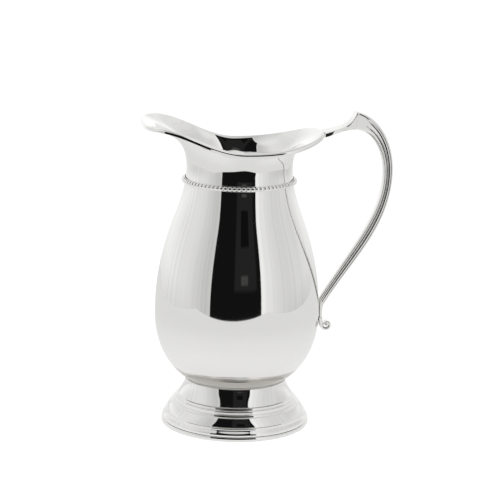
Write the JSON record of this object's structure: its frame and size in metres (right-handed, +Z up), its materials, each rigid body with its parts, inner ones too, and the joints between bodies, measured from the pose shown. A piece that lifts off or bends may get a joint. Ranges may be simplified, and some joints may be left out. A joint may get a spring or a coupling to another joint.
{
  "type": "water pitcher",
  "caption": "Polished silver water pitcher: pear-shaped bowl on a stepped pedestal foot, beaded neck, broad flared spout with a rolled lip and a reeded handle",
  "frame": {"origin": "middle of the bounding box at the height of the table; the turning axis of the bowl stands 21.9 mm towards the spout from it", "axes": "+Z up along the axis of the bowl; +X from the spout to the handle; +Y across the pitcher, the two sides being mirror images"},
  "size_m": [0.1957, 0.128, 0.2466],
  "materials": {
    "polished_silver": "mirror-polished silver plate",
    "worn_silver": "polished silver plate, tarnish in the recesses",
    "solder": "dull silver solder"
  },
  "bodies": {
    "root": {"bowl": "polished_silver", "neck_lip": "polished_silver", "seam_strap": "worn_silver", "bead_moulding": "polished_silver", "foot_shell": "polished_silver", "foot_ring": "polished_silver", "foot_solder": "solder", "handle": "worn_silver", "handle_scroll": "worn_silver", "handle_pad": "solder"}
  },
  "joints": []
}
